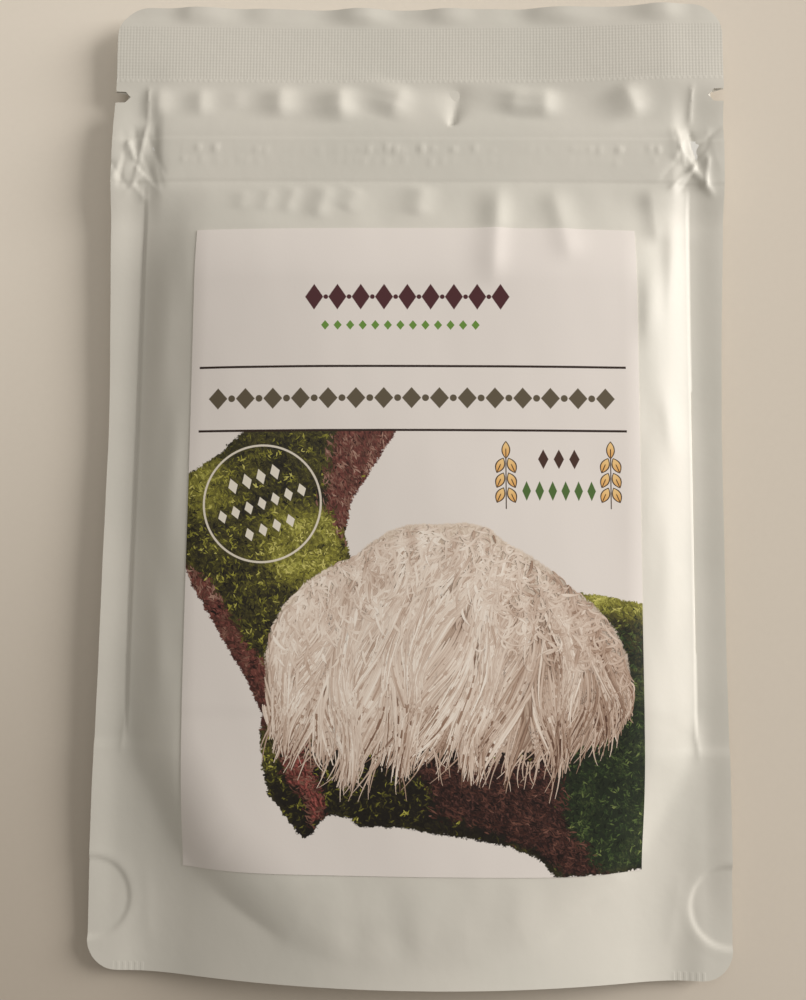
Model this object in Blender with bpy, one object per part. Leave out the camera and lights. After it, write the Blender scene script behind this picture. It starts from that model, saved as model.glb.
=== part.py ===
"""A closed stand-up pouch of powder, lying on its back.

Frame: +Z up, +Y from the bottom gusset to the zip end, origin at the centre of the pouch's footprint on the surface that it lies on.
The films are heat-sealed along both sides, in slanting seals across the two bottom corners, along both bottom rims and in a band near the top edge.
Lengths below are in millimetres and become metres where the meshes are made.
"""

import bpy
import numpy as np

MM = 0.001

# Outline of the two panels
HALF_W = 75.0          # half the pouch's width
LENGTH = 233.0         # bottom edge to top edge
TOP_R = 8.0            # radius of the two top corners
BOTTOM_R = 7.0         # radius of the two bottom corners
NOTCH_Y = 209.4        # tear notches, one in each side seal
NOTCH_HALF = 1.5
NOTCH_DEPTH = 3.7
NOTCH_STRAIGHT = 2.3   # depth at which the notch starts to narrow to a point

# Films and the gaps between pieces that touch
FILM = 0.3
GAP = 0.3

# Seals
SEAM_X = 66.0          # inner edge of the side seals
SEAM_Z = 4.0           # how far the side seals ride above the surface
CORNER_Z = 1.5         # the same at the two bottom corners
CORNER_REACH = 60.0    # how far up the side the seals keep rising to SEAM_Z
PULL_IN = 1.6          # how far the fill draws the sides in at the middle
FOLD_Y = 50.0          # fold of the bottom gusset
RIM_RISE = 8.4         # how far the front bottom rim arches up at its middle
RIM_REACH = 58.0       # half the width of that arch
TACK_Y, TACK_R = 16.4, 8.6   # half-round holes in the gusset, where front and back are tacked together
# Inner edge of the bottom seal: |x|, y. It runs slanting from the side seal to the bottom rim.
KEEL = ((0.0, 4.5), (14.0, 5.4), (27.5, 9.4), (38.0, 16.6), (48.0, 23.4), (53.5, 29.4), (59.5, 39.8), (66.0, 53.5))

# Zip
ZIP_LOW, ZIP_HIGH = 187.0, 198.0
ZIP_RIB = 0.7          # height of the ribs that lock
ZIP_END = 73.5
ZIP_PRESS = 62.0       # the strips are pressed flat from here to their ends

# Fill
BODY_RISE = 8.3        # the front's rise above its seals at its highest
RAMP = 17.0            # how far in from a seal the front panel keeps rising
TOP_RAMP = 26.0        # the same, down from the zip
BACK_ROLL = 15.0       # width of the back panel's rounded edge
ZIP_FOOT = 187.0       # where the front panel meets the zip's level

# Label
LABEL_X = 52.5
LABEL_LOW, LABEL_HIGH = 25.0, 174.0

EMPTY = "pouch_frame"


def smooth(t):
    t = np.clip(t, 0.0, 1.0)
    return t * t * (3.0 - 2.0 * t)


def soft_min(a, b, k):
    h = np.clip(0.5 + 0.5 * (b - a) / k, 0.0, 1.0)
    return b * (1.0 - h) + a * h - k * h * (1.0 - h)


def keel_distance(ax, y):
    """Signed distance from the bottom seal's inner edge, positive on the filled side."""
    pts = np.array(KEEL)
    best = np.full(np.broadcast(ax, y).shape, 1e9)
    for (x0, y0), (x1, y1) in zip(pts[:-1], pts[1:]):
        dx, dy = x1 - x0, y1 - y0
        t = np.clip(((ax - x0) * dx + (y - y0) * dy) / (dx * dx + dy * dy), 0.0, 1.0)
        best = np.minimum(best, np.hypot(ax - x0 - t * dx, y - y0 - t * dy))
    above = y > np.interp(ax, pts[:, 0], pts[:, 1])
    return np.where(above & (ax < SEAM_X + 1e-9), best, -best)


def inside(x, y):
    """Distance into the filled part from the nearest side or bottom seal."""
    ax = np.abs(x)
    return soft_min(SEAM_X - ax, keel_distance(ax, y), 6.0)


def seam_low(y):
    """Height of the side seals' underside: lowest at the bottom corners."""
    return SEAM_Z - (SEAM_Z - CORNER_Z) * (1.0 - smooth(y / CORNER_REACH))


def back_low(x, y):
    """Underside of the back panel."""
    ax = np.abs(x)
    side = (1.0 - np.clip((SEAM_X - ax) / BACK_ROLL, 0.0, 1.0)) ** 2
    top = smooth((y - 160.0) / 27.0)
    return seam_low(y) * (1.0 - (1.0 - side) * (1.0 - top))


def stack(x, y):
    """Thickness of everything sealed together: two films, four where the gusset is, and the zip."""
    ax = np.abs(x)
    two = 2 * FILM + GAP
    gusset = 2 * (FILM + GAP) * (1.0 - smooth((y - FOLD_Y - 1.5) / 6.0))
    window = smooth((y - ZIP_LOW + 9.0) / 9.0) * (1.0 - smooth((y - ZIP_HIGH) / 10.0))
    zipped = 1.25 + ZIP_RIB - ZIP_RIB * smooth((ax - ZIP_PRESS) / (SEAM_X - ZIP_PRESS))
    return two + gusset + zipped * window


def sheet(x, y):
    """Top of the front panel where it is sealed: level with the seams, and arched along the bottom rim."""
    drop = soft_min((x / RIM_REACH) ** 2, 1.0, 0.25)
    arch = RIM_RISE * (1.0 - drop) * (1.0 - smooth((y - 25.0) / 50.0))
    return seam_low(y) + stack(x, y) + arch


def front_top(x, y):
    """Outer face of the front panel."""
    rise = 1.0 - (1.0 - np.clip(inside(x, y) / RAMP, 0.0, 1.0)) ** 2.1
    fall = 1.0 - (1.0 - np.clip((ZIP_FOOT - y) / TOP_RAMP, 0.0, 1.0)) ** 1.8
    crown = SEAM_Z + BODY_RISE * (1.0 - 0.36 * (x / SEAM_X) ** 2) * (1.0 - 0.06 * ((y - 95.0) / 95.0) ** 2)
    base = sheet(x, y)
    return base + (crown - base) * rise * fall


def gusset_high(x, y):
    """Upper face of the gusset's front half: on the front rim's seal, then down to the back panel."""
    w = smooth(inside(x, y) / 26.0)
    return (1.0 - w) * (sheet(x, y) - FILM - GAP) + w * (back_low(x, y) + 3 * FILM + 2 * GAP)


def panel_edge(y, notched=True):
    """Half-width of a panel at height y: drawn in beside the fill, with rounded corners and tear notches."""
    low = 1.0 - smooth((y - 20.0) / 60.0)
    edge = HALF_W - PULL_IN * (0.5 * low + (1.0 - low) * (1.0 - smooth((y - 120.0) / 75.0)))
    if y > LENGTH - TOP_R:
        edge -= TOP_R - np.sqrt(max(0.0, TOP_R ** 2 - (y - LENGTH + TOP_R) ** 2))
    if y < BOTTOM_R:
        edge -= BOTTOM_R - np.sqrt(max(0.0, BOTTOM_R ** 2 - (BOTTOM_R - y) ** 2))
    if notched and abs(y - NOTCH_Y) < NOTCH_HALF:
        edge -= NOTCH_DEPTH - (NOTCH_DEPTH - NOTCH_STRAIGHT) * abs(y - NOTCH_Y) / NOTCH_HALF
    return edge


def gusset_edge(y):
    edge = panel_edge(y, False)
    if abs(y - TACK_Y) < TACK_R:
        edge = min(edge, HALF_W - 0.6 - np.sqrt(TACK_R ** 2 - (y - TACK_Y) ** 2))
    return edge


def columns(inner):
    half = [c for c in inner if c > 0] + [SEAM_X, HALF_W]
    return np.array([-c for c in reversed(half)] + [0.0] + half)


def grid(cols, rows, edge):
    """x and y of a grid whose outermost columns follow the outline."""
    x = np.empty((len(rows), len(cols)))
    for j, y in enumerate(rows):
        e = edge(y)
        ax = np.abs(cols)
        x[j] = np.sign(cols) * np.where(ax <= SEAM_X, ax, e)
    return x, np.repeat(np.array(rows)[:, None], len(cols), axis=1)


def make(name, points, faces, colour, roughness, parent):
    mesh = bpy.data.meshes.new(name)
    p = np.array(points, float)
    p[:, 1] -= LENGTH / 2
    mesh.from_pydata((p * MM).tolist(), [], [tuple(int(i) for i in f) for f in faces])
    mesh.validate()
    mesh.shade_smooth()
    mesh.set_sharp_from_angle(angle=0.7)
    material = bpy.data.materials.new(name)
    material.use_nodes = True
    shader = material.node_tree.nodes["Principled BSDF"]
    shader.inputs["Base Color"].default_value = (*colour, 1.0)
    shader.inputs["Roughness"].default_value = roughness
    shader.inputs["Metallic"].default_value = 0.0
    mesh.materials.append(material)
    obj = bpy.data.objects.new(name, mesh)
    bpy.context.scene.collection.objects.link(obj)
    obj.parent = parent
    return obj


def slab(name, x, y, high, low, colour, roughness, parent):
    """A closed solid between two height grids over the same x and y."""
    n, m = x.shape
    top = np.stack([x, y, high], -1).reshape(-1, 3)
    under = np.stack([x, y, low], -1).reshape(-1, 3)
    k = n * m
    at = lambda j, i: j * m + i
    faces = []
    for j in range(n - 1):
        for i in range(m - 1):
            a, b, c, d = at(j, i), at(j, i + 1), at(j + 1, i + 1), at(j + 1, i)
            if i < (m - 1) / 2:
                tris = ((a, b, c), (a, c, d))
            else:
                tris = ((a, b, d), (b, c, d))
            for t in tris:
                faces.append(t)
                faces.append((t[0] + k, t[2] + k, t[1] + k))
    rim = [at(0, i) for i in range(m)] + [at(j, m - 1) for j in range(1, n)]
    rim += [at(n - 1, i) for i in range(m - 2, -1, -1)] + [at(j, 0) for j in range(n - 2, 0, -1)]
    for a, b in zip(rim, rim[1:] + rim[:1]):
        faces.append((a, a + k, b + k))
        faces.append((a, b + k, b))
    return make(name, np.concatenate([top, under]), faces, colour, roughness, parent)


def lofted(name, sections, colour, roughness, parent):
    """A closed solid through closed cross-sections with the same number of points, the ends filled by strips."""
    count = len(sections[0])
    points = np.concatenate(sections)
    faces = []
    for s in range(len(sections) - 1):
        for i in range(count):
            a, b = s * count + i, s * count + (i + 1) % count
            c, d = b + count, a + count
            faces.append((a, c, b))
            faces.append((a, d, c))
    for s, flip in ((0, True), (len(sections) - 1, False)):
        lo, hi = 0, count - 1
        while hi - lo > 1:
            quad = [s * count + i for i in (lo, lo + 1, hi - 1, hi)]
            if lo + 1 == hi - 1:
                quad = quad[:2] + quad[3:]
            strips = [quad] if len(quad) == 3 else [[quad[0], quad[1], quad[2]], [quad[0], quad[2], quad[3]]]
            for t in strips:
                faces.append(tuple(t) if flip else tuple(reversed(t)))
            lo, hi = lo + 1, hi - 1
    return make(name, points, faces, colour, roughness, parent)


def main():
    for obj in list(bpy.data.objects):
        bpy.data.objects.remove(obj, do_unlink=True)
    frame = bpy.data.objects.new(EMPTY, None)
    bpy.context.scene.collection.objects.link(frame)

    foil = ((0.74, 0.73, 0.70), 0.45)
    paper = ((0.83, 0.80, 0.77), 0.5)
    plastic = ((0.85, 0.85, 0.83), 0.4)
    powder = ((0.72, 0.58, 0.40), 0.9)

    fine = columns((10.5, 21.0, 31.5, 42.0, 52.5, 57.5, ZIP_PRESS))
    coarse = columns((21.0, 42.0, 52.5, 57.5, ZIP_PRESS))
    low_rows = [0.0, 0.6, 2.4, 7.0, 7.8, 9.0, 12.0, TACK_Y, 20.8, 23.8, LABEL_LOW, 29.0, 34.5, 42.0, FOLD_Y]
    notch = [NOTCH_Y + s * (NOTCH_HALF + e) for s in (-1.0, 1.0) for e in (0.01, -0.1)] + [NOTCH_Y]
    rows = sorted(set(low_rows + [57.5, 67.0, 80.0, 95.0, 111.0, 127.0, 141.0, 153.0, 161.0, 167.5, LABEL_HIGH, 178.0, 182.5,
                                  ZIP_LOW, 192.5, ZIP_HIGH, 203.0, 225.0, 228.5, 231.0, 232.4, LENGTH] + notch))
    back_rows = [r for r in rows if r <= 7.0 or r in (FOLD_Y, 111.0) or r >= 153.0]

    x, y = grid(fine, rows, panel_edge)
    top = front_top(x, y)
    slab("front_panel", x, y, top, top - FILM, *foil, frame)

    x, y = grid(coarse, back_rows, panel_edge)
    low = back_low(x, y)
    slab("back_panel", x, y, low + FILM, low, *foil, frame)

    # The gusset is one film folded inwards: front half, fold, back half
    x, y = grid(fine, low_rows, gusset_edge)
    upper_top = gusset_high(x, y)
    low = back_low(x, y)
    sections = []
    n = len(low_rows)
    for i in range(x.shape[1]):
        xi, yi, a, b = x[:, i], y[:, i], upper_top[:, i], low[:, i]
        shift = np.zeros(n)
        shift[-1] = FILM
        outer = [(xi[j], yi[j] + shift[j], a[j]) for j in range(n)]
        outer += [(xi[j], yi[j] + shift[j], b[j] + FILM + GAP) for j in reversed(range(n))]
        inner = [(xi[j], yi[j], b[j] + 2 * FILM + GAP) for j in range(n)]
        inner += [(xi[j], yi[j], a[j] - FILM) for j in reversed(range(n))]
        sections.append(np.array(outer + inner))
    lofted("bottom_gusset", sections, *foil, frame)

    # Zip: two strips, each a flange; the back one has two ribs and the front one a rib between them. The ends are pressed flat in the side seals.
    stations = np.array([-ZIP_END, -SEAM_X, -ZIP_PRESS, -42.0, -21.0, 0.0, 21.0, 42.0, ZIP_PRESS, SEAM_X, ZIP_END])
    back_strip, front_strip = [], []
    for s in stations:
        full = 1.0 - float(smooth((abs(s) - ZIP_PRESS) / (SEAM_X - ZIP_PRESS)))
        base = float(back_low(np.array(s), np.array(ZIP_HIGH)))
        z0 = base + FILM + GAP
        z1 = z0 + FILM
        rib = 0.02 + (ZIP_RIB - 0.02) * full
        at = ZIP_HIGH - 4.4
        back_strip.append(np.array([(s, ZIP_LOW, z0), (s, ZIP_HIGH, z0), (s, ZIP_HIGH, z1), (s, at + 3.2, z1), (s, at + 3.2, z1 + rib), (s, at + 2.4, z1 + rib), (s, at + 2.4, z1),
                                    (s, at + 0.8, z1), (s, at + 0.8, z1 + rib), (s, at, z1 + rib), (s, at, z1), (s, ZIP_LOW, z1)]))
        z2 = z1 + GAP + ZIP_RIB * full
        z3 = z2 + FILM
        tip = z2 - (0.02 + (ZIP_RIB - 0.04) * full)
        front_strip.append(np.array([(s, ZIP_LOW, z2), (s, at + 1.2, z2), (s, at + 1.2, tip), (s, at + 2.0, tip), (s, at + 2.0, z2), (s, ZIP_HIGH, z2), (s, ZIP_HIGH, z3), (s, ZIP_LOW, z3)]))
    for name, strips in (("zip_back_strip", back_strip), ("zip_front_strip", front_strip)):
        obj = prism(name, strips, *plastic, frame)
        obj.data.set_sharp_from_angle(angle=0.5)

    x, y = grid(columns((10.5, 21.0, 31.5, 42.0, 52.5))[2:-2], [r for r in rows if LABEL_LOW <= r <= LABEL_HIGH], lambda v: HALF_W)
    top = front_top(x, y) + FILM + GAP
    slab("front_label", x, y, top, top - FILM, *paper, frame)

    # The powder fills the pouch between the films, over the gusset's front half
    fill_rows = [14.0, 16.0, 18.5, 22.0, 27.0, 33.0, 41.0, FOLD_Y + 0.8, FOLD_Y + 2.2, 58.0, 67.0, 80.0, 95.0, 111.0, 127.0, 141.0, 153.0, 161.0, 167.5, 173.0]
    share = np.array([0.0, 0.2, 0.4, 0.6, 0.75, 0.86, 0.94, 1.0])
    share = np.concatenate([-share[:0:-1], share])
    x = np.empty((len(fill_rows), len(share)))
    for j, v in enumerate(fill_rows):
        line = np.linspace(0.0, SEAM_X, 1400)
        deep = front_top(line, np.full_like(line, v)) - back_low(line, np.full_like(line, v))
        clear = 3.5 + 3.5 * float(1.0 - smooth((v - 28.0) / 25.0))
        room = line[(inside(line, np.full_like(line, v)) > clear) & (deep > 4.0)]
        x[j] = share * (room.max() if len(room) else 4.0)
    y = np.repeat(np.array(fill_rows)[:, None], len(share), axis=1)
    high = front_top(x, y) - FILM - GAP - 1.0 - 1.5 * smooth((np.abs(x) - 14.0) / 12.0) * (1.0 - smooth((y - 40.0) / 35.0))
    low = back_low(x, y) + FILM + GAP + 0.3
    low = np.where(y < FOLD_Y + 1.0, np.maximum(gusset_high(x, np.minimum(y, FOLD_Y)) + GAP + 0.8, low), low)
    slab("powder_fill", x, y, np.maximum(high, low + 0.5), low, *powder, frame)


def prism(name, sections, colour, roughness, parent):
    """As lofted, with flat ends triangulated from the section's own outline by ear cutting."""
    from mathutils.geometry import tessellate_polygon
    count = len(sections[0])
    points = np.concatenate(sections)
    faces = []
    for s in range(len(sections) - 1):
        for i in range(count):
            a, b = s * count + i, s * count + (i + 1) % count
            faces.append((a, b, b + count))
            faces.append((a, b + count, a + count))
    end = [tuple(p) for p in sections[0]]
    for t in tessellate_polygon([end]):
        p, q, r = (sections[0][i] for i in t)
        facing = np.cross(q - p, r - p)[0]
        first = t if facing < 0 else tuple(reversed(t))
        faces.append(tuple(first))
        faces.append(tuple((len(sections) - 1) * count + i for i in reversed(first)))
    return make(name, points, faces, colour, roughness, parent)


main()
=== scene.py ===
"""Looks for the filled stand-up pouch: fine film, label and fill surfaces, procedural materials, floor, light and camera."""

import math

import bpy
import numpy as np
from mathutils import Euler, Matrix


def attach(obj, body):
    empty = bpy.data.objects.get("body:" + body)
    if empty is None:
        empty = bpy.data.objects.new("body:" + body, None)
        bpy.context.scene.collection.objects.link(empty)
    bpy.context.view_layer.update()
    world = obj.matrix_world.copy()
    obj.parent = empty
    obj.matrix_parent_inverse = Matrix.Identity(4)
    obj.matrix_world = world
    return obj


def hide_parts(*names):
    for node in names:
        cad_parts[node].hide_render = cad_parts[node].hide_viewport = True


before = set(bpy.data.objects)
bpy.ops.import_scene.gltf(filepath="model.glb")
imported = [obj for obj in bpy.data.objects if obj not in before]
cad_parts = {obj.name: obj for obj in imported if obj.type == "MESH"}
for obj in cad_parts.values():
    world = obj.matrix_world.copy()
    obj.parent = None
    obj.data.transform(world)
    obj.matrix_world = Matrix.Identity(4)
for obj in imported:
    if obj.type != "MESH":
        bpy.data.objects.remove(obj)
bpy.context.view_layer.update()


# ------------------------------------------------------------------ shape, in millimetres, y from the bottom edge
MM = 0.001
HALF_W, LENGTH = 75.0, 233.0
TOP_R, BOTTOM_R = 8.0, 7.0
NOTCH_Y, NOTCH_HALF, NOTCH_DEPTH, NOTCH_STRAIGHT = 209.4, 1.5, 3.7, 2.3
SEAM_X, SEAM_Z, CORNER_Z, CORNER_REACH, PULL_IN = 66.0, 4.0, 1.5, 60.0, 1.6
FOLD_Y, RIM_RISE, RIM_REACH = 50.0, 8.6, 58.0
TACK_X, TACK_Y, TACK_R = 73.8, 16.4, 9.1
KEEL = ((0.0, 4.0), (14.0, 5.0), (27.0, 9.3), (38.0, 16.6), (47.7, 23.2), (53.2, 29.2), (59.2, 39.4), (63.4, 47.0), (66.0, 53.5))
BODY_RISE, RAMP, TOP_RAMP, BACK_ROLL, ZIP_FOOT = 8.3, 17.0, 26.0, 15.0, 187.0
ZIP_LOW, ZIP_HIGH = 187.0, 198.0
BACK_FILM, PLY = 0.26, 0.26
LABEL_W, LABEL_H, LABEL_THICK = 105.0, 149.2, 0.17


def smooth(t):
    t = np.clip(t, 0.0, 1.0)
    return t * t * (3.0 - 2.0 * t)


def soft_min(a, b, k):
    h = np.clip(0.5 + 0.5 * (b - a) / k, 0.0, 1.0)
    return b * (1.0 - h) + a * h - k * h * (1.0 - h)


def keel_distance(ax, y):
    pts = np.array(KEEL)
    best = np.full(np.broadcast(ax, y).shape, 1e9)
    for (x0, y0), (x1, y1) in zip(pts[:-1], pts[1:]):
        dx, dy = x1 - x0, y1 - y0
        t = np.clip(((ax - x0) * dx + (y - y0) * dy) / (dx * dx + dy * dy), 0.0, 1.0)
        best = np.minimum(best, np.hypot(ax - x0 - t * dx, y - y0 - t * dy))
    above = y > np.interp(ax, pts[:, 0], pts[:, 1])
    return np.where(above & (ax < SEAM_X + 1e-9), best, -best)


def inside(x, y):
    ax = np.abs(x)
    return soft_min(SEAM_X - ax, keel_distance(ax, y), 3.0)


def waves(x, y, seed, length, stretch=1.0, count=9):
    """Smooth seeded noise, about -1 to 1, with features of that length across and length times stretch along y."""
    r = np.random.default_rng(seed)
    total = np.zeros(np.broadcast(x, y).shape)
    for _ in range(count):
        a = r.uniform(0, 2 * math.pi)
        k = 2 * math.pi / length * r.uniform(0.6, 1.5)
        total += np.cos(k * (math.cos(a) * x + math.sin(a) * y / stretch) + r.uniform(0, 2 * math.pi))
    return total / math.sqrt(count) * 0.9


def line_frame(x, y, x0, y0, x1, y1):
    """Distance across and share along the line from one point to the other."""
    dx, dy = x1 - x0, y1 - y0
    n = math.hypot(dx, dy)
    along = ((x - x0) * dx + (y - y0) * dy) / (n * n)
    across = ((x - x0) * dy - (y - y0) * dx) / n
    return across, along, n


def fold(x, y, x0, y0, x1, y1, left, right, height, power=1.6, taper=0.35):
    """A ridge along a line: its own width on either side, faded out towards both ends."""
    across, along, _ = line_frame(x, y, x0, y0, x1, y1)
    width = np.where(across < 0, left, right)
    ends = smooth(along / taper) * smooth((1.0 - along) / taper)
    return height * np.exp(-np.abs(across / width) ** power) * ends


def crease(x, y, x0, y0, x1, y1, width, height):
    """A sharp-crested fold."""
    across, along, n = line_frame(x, y, x0, y0, x1, y1)
    ends = smooth(along / 0.3 + 0.3) * smooth((1.0 - along) / 0.3 + 0.3)
    return height * np.exp(-np.abs(across) / width) * ends


def seam_low(y):
    return SEAM_Z - (SEAM_Z - CORNER_Z) * (1.0 - smooth(y / CORNER_REACH))


def back_low(x, y):
    ax = np.abs(x)
    side = (1.0 - np.clip((SEAM_X - ax) / BACK_ROLL, 0.0, 1.0)) ** 2
    top = smooth((y - 160.0) / 27.0)
    return seam_low(y) * (1.0 - (1.0 - side) * (1.0 - top))


def shared(x, y):
    """What both panels do together where they're sealed: wavy edges, the loose top strip, the tacked half-moons."""
    ax = np.abs(x)
    rim = smooth((ax - 60.0) / 8.0)
    z = rim * (0.4 * waves(x * 0.15 + np.sign(x) * 31.0, y, 3, 60.0) + 0.07 * waves(x * 0.3 + np.sign(x) * 9.0, y, 4, 19.0))
    z += 0.55 * smooth((ax - 68.0) / 7.0) * smooth((y - 4.0) / 20.0) * (1.0 - smooth((y - 195.0) / 20.0))
    strip = smooth((y - 227.5) / 4.0)
    lift = 0.35 * waves(x, 0 * y, 6, 26.0, 1.0, 5)
    for at, left, right, tall in ((-56.0, 4.0, 6.5, 0.9), (-39.0, 4.0, 4.5, 0.5), (-14.5, 5.5, 6.0, 1.0), (7.5, 4.5, 5.5, 0.9), (32.0, 5.0, 7.0, 1.1), (60.0, 5.0, 4.5, 0.9)):
        lift = lift + tall * np.exp(-np.abs((x - at) / np.where(x < at, left, right)) ** 2.2)
    z += 0.85 * strip * (lift - 0.35)
    z += 0.35 * smooth((y - 203.0) / 20.0) * waves(x, y * 0.3, 8, 95.0, 1.0, 5)
    z += 2.8 * smooth((x - 26.0) / 52.0) * smooth((y - 201.0) / 12.0)
    for side in (-1.0, 1.0):
        r = np.hypot(x - side * TACK_X, y - TACK_Y)
        z -= 0.36 * (1.0 - smooth((r - TACK_R + 0.6) / 1.2))
        z += 0.05 * np.exp(-((r - TACK_R - 1.4) / 1.2) ** 2)
    return z


def stack(x, y):
    ax = np.abs(x)
    gusset = 0.34 * (1.0 - smooth((y - FOLD_Y - 0.6) / 2.4))
    window = smooth((y - 176.0) / 12.0) * (1.0 - smooth((y - ZIP_HIGH - 0.5) / 14.0))
    zipped = 2.05 - 0.75 * smooth((ax - 62.0) / 4.0)
    border = 0.13 * smooth((y - ZIP_LOW + 0.3) / 0.7) * (1.0 - smooth((y - ZIP_HIGH + 0.3) / 0.7))
    return BACK_FILM + PLY + gusset + zipped * window + border


def sheet(x, y):
    drop = soft_min((x / RIM_REACH) ** 2, 1.0, 0.25)
    arch = RIM_RISE * (1.0 - drop) * (1.0 - smooth((y - 25.0) / 50.0))
    return seam_low(y) + stack(x, y) + arch


def inflated(x, y):
    d = inside(x, y)
    d = 0.5 * (d + np.sqrt(d * d + 4.0))
    rise = 1.0 - (1.0 - np.clip(d / RAMP, 0.0, 1.0)) ** 2.1
    fall = 1.0 - (1.0 - np.clip((ZIP_FOOT - y) / TOP_RAMP, 0.0, 1.0)) ** 1.8
    crown = SEAM_Z + BODY_RISE * (1.0 - 0.36 * (x / SEAM_X) ** 2) * (1.0 - 0.06 * ((y - 95.0) / 95.0) ** 2)
    base = sheet(x, y)
    return base + (crown - base) * rise * fall


def label_cover(x, y):
    """1 well inside the label, 0 outside it."""
    u, v = to_label(x, y)
    depth = np.minimum(np.minimum(u, LABEL_W - u), np.minimum(v, LABEL_H - v))
    return smooth((depth + 2.2) / 2.6), depth


LABEL_TURN = math.radians(0.276)
LABEL_MID = (0.3, 99.3)


def to_label(x, y):
    """Position on the label from its bottom left corner."""
    c, s = math.cos(LABEL_TURN), math.sin(LABEL_TURN)
    dx, dy = x - LABEL_MID[0], y - LABEL_MID[1]
    return c * dx + s * dy + LABEL_W / 2, -s * dx + c * dy + LABEL_H / 2


def from_label(u, v):
    c, s = math.cos(LABEL_TURN), math.sin(LABEL_TURN)
    dx, dy = u - LABEL_W / 2, v - LABEL_H / 2
    return c * dx - s * dy + LABEL_MID[0], s * dx + c * dy + LABEL_MID[1]


def folds_above(x, y):
    """The stiff folds that hang from the top seal and stop at the zip."""
    y = y + 1.2
    z = 0
    for f in (
        (-64.0, 214.6, -64.0, 203.4, 2.0, 3.0, 0.75), (-53.9, 214.2, -53.2, 204.0, 1.8, 2.4, 0.75),
        (-45.0, 214.0, -44.5, 206.0, 2.0, 3.0, 0.3),
        (-34.0, 215.0, -33.6, 203.6, 2.6, 3.4, 1.3), (-19.4, 215.2, -18.6, 202.6, 2.5, 4.2, 1.75),
        (-3.0, 215.0, -7.2, 203.8, 2.4, 5.2, 1.2), (25.0, 214.6, 23.2, 204.6, 5.0, 2.9, 1.0),
        (31.6, 214.4, 31.2, 204.0, 2.2, 3.4, 1.15), (50.0, 215.0, 54.2, 203.6, 2.4, 3.8, 1.45),
    ):
        z = z + fold(x, y, *f[:4], f[4] * 1.3, f[5] * 1.35, f[6] * 1.15, power=1.6, taper=0.42)
    # One fold comes to a sharp point above the zip
    across, along, _ = line_frame(x, y, 8.7, 202.6, 10.8, 215.4)
    share = np.clip(along, 0.0, 1.0)
    width = 0.35 + 5.2 * share
    z = z - 1.15 * np.exp(-np.abs(across / width) ** 1.25) * smooth(along / 0.06 + 0.4) * smooth((1.0 - along) / 0.4)
    return z * (1.0 - smooth((np.abs(x) - 66.5) / 3.0))


def folds_below(x, y):
    """Folds that start at the zip and run down into the filled body."""
    y = y + 2.1
    z = 0
    for f in (
        (-41.8, 186.8, -42.6, 181.0, 2.0, 2.0, 0.24), (-35.2, 187.6, -36.6, 180.2, 1.8, 1.9, 0.3),
        (-29.0, 188.4, -31.6, 179.6, 1.9, 2.3, 0.45), (-21.2, 188.6, -24.2, 178.2, 2.1, 2.9, 0.62),
        (-13.8, 187.6, -17.4, 180.4, 2.4, 3.4, 0.42), (1.8, 188.8, 0.2, 178.6, 2.8, 3.6, 0.75),
        (20.2, 190.0, 18.0, 160.0, 2.7, 3.8, 1.5), (32.6, 189.0, 37.0, 166.0, 3.6, 3.4, 1.25),
        (56.4, 189.0, 58.4, 172.0, 6.2, 2.6, 1.3),
    ):
        z = z + fold(x, y, *f, power=1.7, taper=0.3)
    for f in (
        (62.5, 187.0, 60.5, 148.0, 2.4, 2.0, 0.8), (56.5, 170.0, 54.8, 146.0, 3.4, 3.0, 0.9),
        (59.0, 140.0, 61.5, 118.0, 3.0, 2.0, 0.5), (-60.5, 176.0, -58.0, 120.0, 3.0, 3.5, 0.55),
        (-56.0, 140.0, -57.5, 88.0, 3.0, 3.4, 0.6), (-60.0, 98.0, -58.0, 60.0, 3.0, 3.0, 0.45),
        (60.0, 112.0, 58.5, 70.0, 3.4, 3.0, 0.5),
    ):
        z = z + fold(x, y, *f, power=2.0, taper=0.45)
    return z


def dimples(x, y):
    """The row of small dents that the zip's welded rib leaves, and a fainter one below it."""
    z = np.zeros(np.broadcast(x, y).shape)
    for row, seed, tall in ((195.2, 11, 0.20), (192.2, 12, 0.09)):
        r = np.random.default_rng(seed)
        at = -57.0
        while at < 59.0:
            high = tall * r.choice([0.15, 0.6, 1.0, 1.3]) * (0.6 + 0.4 * math.cos(at / 9.0))
            cy = row + r.uniform(-0.35, 0.35)
            z += high * np.exp(-(((x - at) / 0.75) ** 2 + ((y - cy) / r.uniform(0.8, 1.3)) ** 2))
            at += r.uniform(1.7, 3.0)
    return z * smooth((62.0 - np.abs(x)) / 4.0)


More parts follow.
